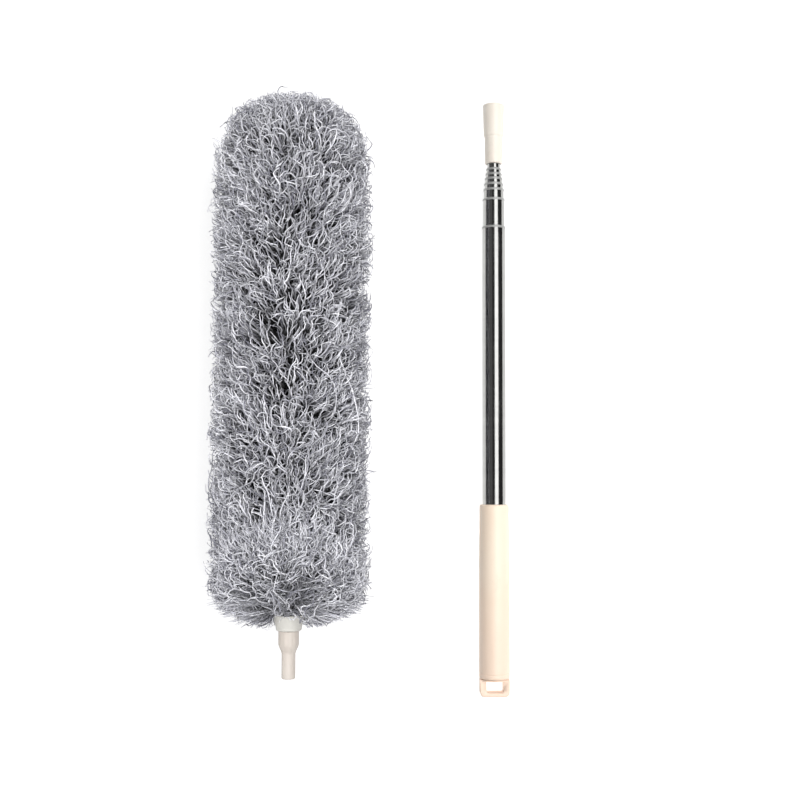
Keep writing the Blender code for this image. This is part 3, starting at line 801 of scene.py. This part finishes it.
def fit_to_outline(dice, strands, paths, tall):
    """The strands, scaled from their roots until each one's farthest point is where it's wanted."""
    n, length, start = strands.count, strands.length, strands.start
    wanted = np.clip(dice.normal(OUTLINE_SHARE, OWN_HEIGHT, n) + tall, 0.78, 1.02)
    wanted = np.where(strands.under, wanted - UNDERCOAT_SHORTER, wanted)
    wanted = np.where(dice.random(n) < 0.03, wanted + STRAY_LONGER, wanted)
    wanted = np.where(strands.wisp, evenly(dice, WISP_REACH, n), wanted)
    for _ in range(3):
        ratio = wanted / envelope_share(paths, length).max(1)
        ratio = np.where(strands.ruff, np.minimum(1.0, ratio), ratio)
        paths = start[:, None] + (paths - start[:, None]) * ratio[:, None, None]
    return paths


def shading_depth(dice, strands, paths):
    """How far out the yarn's paint takes each point to be; the paint turns this into painted shade, darker
    farther in.
    Near the collar strands lie open to the light, so they count as far out however short they are, and take
    painted light, to random levels and a little more towards their ends."""
    depth = envelope_share(paths, strands.length)
    bare = np.clip((BARE_ZONE - strands.root) / BARE_ZONE_LENGTH, 0.0, 1.0)
    along = np.concatenate([[0.0], np.cumsum(STEPS)])
    own = dice.normal(0.0, 0.06, strands.count)
    # Painted light: strands near the collar count as lit, more than half of them fully.
    level = np.where(dice.random(strands.count) < 0.55, 0.97, 0.77) + own
    lit = bare[:, None] * level[:, None] + 0.10 * along[None, :] * bare[:, None]
    return np.clip(np.maximum(depth, lit), 0.0, 1.1)


def rest_on_floor(paths):
    """The strands, with what would pass through the floor pressed softly on to it."""
    floor = FLOOR_GAP - HEAD_Z
    soft = floor + SOFT_LANDING
    z = paths[..., 2]
    pressed = floor + SOFT_LANDING * np.exp((z - soft) / SOFT_LANDING)
    paths[..., 2] = np.where(z < soft, pressed, z)
    return paths


def strand_paths(dice):
    """Paths of the fringe's strands, in the head's own frame: x across, y along, z up, from the axis at y = 0
    at the foot of the pile. With them come their depth, tone and thickness, in order of their roots."""
    length = PILE_HIGH - PILE_LOW
    locks = draw_locks(dice, length)
    strands = Strands(dice, locks, length)
    n, lock = strands.count, strands.lock
    paths = fit_to_outline(dice, strands, grow(strands), locks["tall"][lock])
    depth = shading_depth(dice, strands, paths)
    paths = rest_on_floor(paths)
    tone = MIDDLE_TONE + TONE_SPREAD * dice.normal(0.0, 1.0, n) + locks["shade"][lock]
    tone = np.clip(tone, 0.0, 1.0)
    thick = np.where(strands.wisp, WISP_THICKNESS, STRAND_THICKNESS) + THICKNESS_SPREAD * dice.random(n)
    order = np.argsort(strands.root)
    return paths[order], depth[order], tone[order], thick[order]


def strand_mesh(name, paths, depth, tone, thick, dice):
    """Three-sided strands along paths, thinner towards their ends, as one mesh."""
    n, count, _ = paths.shape
    ahead = np.empty_like(paths)
    ahead[:, 1:-1] = paths[:, 2:] - paths[:, :-2]
    ahead[:, 0] = paths[:, 1] - paths[:, 0]
    ahead[:, -1] = paths[:, -1] - paths[:, -2]
    ahead = unit(ahead)
    across = unit(np.cross(ahead[:, 0], unit(dice.normal(0.0, 1.0, (n, 3)))))
    share = np.linspace(0.0, 1.0, count)
    taper = np.where(share < 0.9, 1.0 - 0.22 * share, END_TAPER)
    sides = STRAND_SIDES
    rings = np.empty((n, count, sides, 3))
    for k in range(count):
        across = unit(across - ahead[:, k] * np.sum(across * ahead[:, k], 1, keepdims=True))
        up = np.cross(ahead[:, k], across)
        for s in range(sides):
            angle = 2 * math.pi * s / sides
            around = across * math.cos(angle) + up * STRAND_FLATNESS * math.sin(angle)
            rings[:, k, s] = paths[:, k] + around * (thick * taper[k])[:, None]
    points = rings.reshape(-1, 3) + np.array([HEAD_X, PILE_LOW, HEAD_Z])
    base = np.arange(n)[:, None, None] * count * sides + np.arange(count - 1)[None, :, None] * sides
    side = np.arange(sides)[None, None, :]
    after = (side + 1) % sides
    quads = np.stack([base + side, base + after, base + sides + after, base + sides + side], -1).reshape(-1, 4)
    first = np.arange(n)[:, None] * count * sides
    caps = np.concatenate([first + np.array([[2, 1, 0]]),
                           first + (count - 1) * sides + np.array([[0, 1, 2]])])
    loops = np.concatenate([quads.ravel(), caps.ravel()]).astype(np.int32)
    starts = np.concatenate([np.arange(len(quads)) * 4, len(quads) * 4 + np.arange(len(caps)) * 3])
    mesh = bpy.data.meshes.new(name)
    mesh.vertices.add(len(points))
    mesh.vertices.foreach_set("co", points.astype(np.float32).ravel())
    mesh.loops.add(len(loops))
    mesh.loops.foreach_set("vertex_index", loops)
    mesh.polygons.add(len(starts))
    mesh.polygons.foreach_set("loop_start", starts.astype(np.int32))
    mesh.update(calc_edges=True)
    mesh.shade_smooth()
    # The depth attribute carries the yarn's painted shade, and near the collar its painted light.
    stored = {"tone": np.repeat(tone, count * sides), "depth": np.repeat(depth.ravel(), sides)}
    for label, values in stored.items():
        mesh.attributes.new(label, "FLOAT", "POINT").data.foreach_set("value", values.astype(np.float32))
    mesh.materials.append(YARN)
    thing = bpy.data.objects.new(name, mesh)
    bpy.context.scene.collection.objects.link(thing)
    return thing


def make_fringe():
    """The strands in slices along the head. A slice stands for the half of the fringe that it starts in."""
    dice = np.random.default_rng(SEED)
    paths, depth, tone, thick = strand_paths(dice)
    for k, part in enumerate(np.array_split(np.arange(len(paths)), SLICES)):
        middle_y = PILE_LOW + float(np.mean(paths[part, 0, 1]))
        node = "pile_base" if middle_y < BEND_Y else "pile_tip"
        fringe = strand_mesh(f"fringe_{k + 1}", paths[part], depth[part], tone[part], thick[part], dice)
        bending(fringe, "yarn_fringe", node)


make_fringe()

# ---------------------------------------------------------------- nodes that keep their CAD shape
for name, thing in frame["nodes"].items():
    if not thing.hide_render:
        paint = {"guide": NYLON, "tube_": NYLON, "core_": NYLON, "tip_c": NYLON}[name[:5]]
        thing.data.materials.clear()
        thing.data.materials.append(paint)

# ---------------------------------------------------------------- floor, light and camera
FLOOR_HALF, FLOOR_DROP = 30, 0.0004
CAMERA_PLACE, CAMERA_TARGET = (0.0355, -0.0767, 1.1655), (0.0355, -0.0043, 0.0155)
CAMERA_LENS, CAMERA_SENSOR, CAMERA_ROLL = 51.55, 36.0, 0.0034
ROOM_TINT, BACKDROP_TINT = (0.035, 0.035, 0.036, 1.0), (0.93, 0.93, 0.93, 1.0)


def area_light(name, place, target, size, radiance, glossy, lit=None):
    """A soft panel. Its radiance is what a mirror would show, with 1 as paper white. It lights everything, or
    only the things that are given."""
    data = bpy.data.lights.new(name, "AREA")
    data.shape = "RECTANGLE"
    data.size, data.size_y = size
    data.energy = radiance * math.pi * size[0] * size[1]
    lamp = bpy.data.objects.new(name, data)
    lamp.location = place
    lamp.rotation_mode = "QUATERNION"
    lamp.rotation_quaternion = (Vector(place) - Vector(target)).to_track_quat("Z", "Y")
    lamp.visible_glossy = glossy
    bpy.context.scene.collection.objects.link(lamp)
    if lit:
        group = bpy.data.collections.new(name + "_lights")
        for thing in lit:
            group.objects.link(thing)
        lamp.light_linking.receiver_collection = group


def make_floor():
    corners = [(-FLOOR_HALF, -FLOOR_HALF, 0), (FLOOR_HALF, -FLOOR_HALF, 0), (FLOOR_HALF, FLOOR_HALF, 0),
               (-FLOOR_HALF, FLOOR_HALF, 0)]
    floor = mesh_object("studio_floor", corners, [(0, 1, 2, 3)], floor_paint())
    floor.location.z = -FLOOR_DROP
    floor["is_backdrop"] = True


def make_lights():
    """A soft box that the steel mirrors, a grey card to its left, and a fill light each for head and pole."""
    head_things = [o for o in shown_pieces() if o.name.startswith(("fringe", "ribbed", "flared", "wound"))]
    pole_things = [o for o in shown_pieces() if o not in head_things]
    area_light("key_softbox", place=(POLE_X + 0.94, 0.0, 2.20), target=(POLE_X + 0.94, 0.0, 0.0),
               size=(1.57, 3.2), radiance=2.10, glossy=True)
    area_light("head_fill", place=(-0.45, 0.1, 2.60), target=(-0.45, 0.1, 0.0), size=(3.2, 3.2), radiance=4.0,
               glossy=False, lit=head_things)
    area_light("pole_fill", place=(0.95, 0.2, 2.40), target=(0.1, 0.0, 0.0), size=(2.0, 3.2), radiance=3.3,
               glossy=False, lit=pole_things)
    area_light("left_grey_card", place=(-1.7, 0.0, 1.3), target=(0.0, 0.0, 0.0), size=(3.0, 3.0),
               radiance=0.10, glossy=True)


def make_world():
    """A dark room for reflections and a near-white backdrop for the camera."""
    world = bpy.data.worlds.new("studio")
    world.use_nodes = True
    nodes, links = world.node_tree.nodes, world.node_tree.links
    room = nodes["Background"]
    room.inputs["Color"].default_value = ROOM_TINT
    backdrop = nodes.new("ShaderNodeBackground")
    backdrop.inputs["Color"].default_value = BACKDROP_TINT
    seen = nodes.new("ShaderNodeLightPath")
    either = nodes.new("ShaderNodeMixShader")
    links.new(seen.outputs["Is Camera Ray"], either.inputs["Fac"])
    links.new(room.outputs["Background"], either.inputs[1])
    links.new(backdrop.outputs["Background"], either.inputs[2])
    links.new(either.outputs["Shader"], nodes["World Output"].inputs["Surface"])
    bpy.context.scene.world = world
    bpy.context.scene.view_settings.view_transform = "Standard"


def make_camera():
    data = bpy.data.cameras.new("camera")
    data.lens = CAMERA_LENS
    data.sensor_width = CAMERA_SENSOR
    camera = bpy.data.objects.new("camera", data)
    camera.location = CAMERA_PLACE
    camera.rotation_mode = "QUATERNION"
    aim = Vector(CAMERA_TARGET) - Vector(CAMERA_PLACE)
    roll = Matrix.Rotation(CAMERA_ROLL, 3, "Z")
    camera.rotation_quaternion = (aim.to_track_quat("-Z", "Y").to_matrix() @ roll).to_quaternion()
    bpy.context.scene.collection.objects.link(camera)
    bpy.context.scene.camera = camera


make_floor()
make_lights()
make_world()
make_camera()
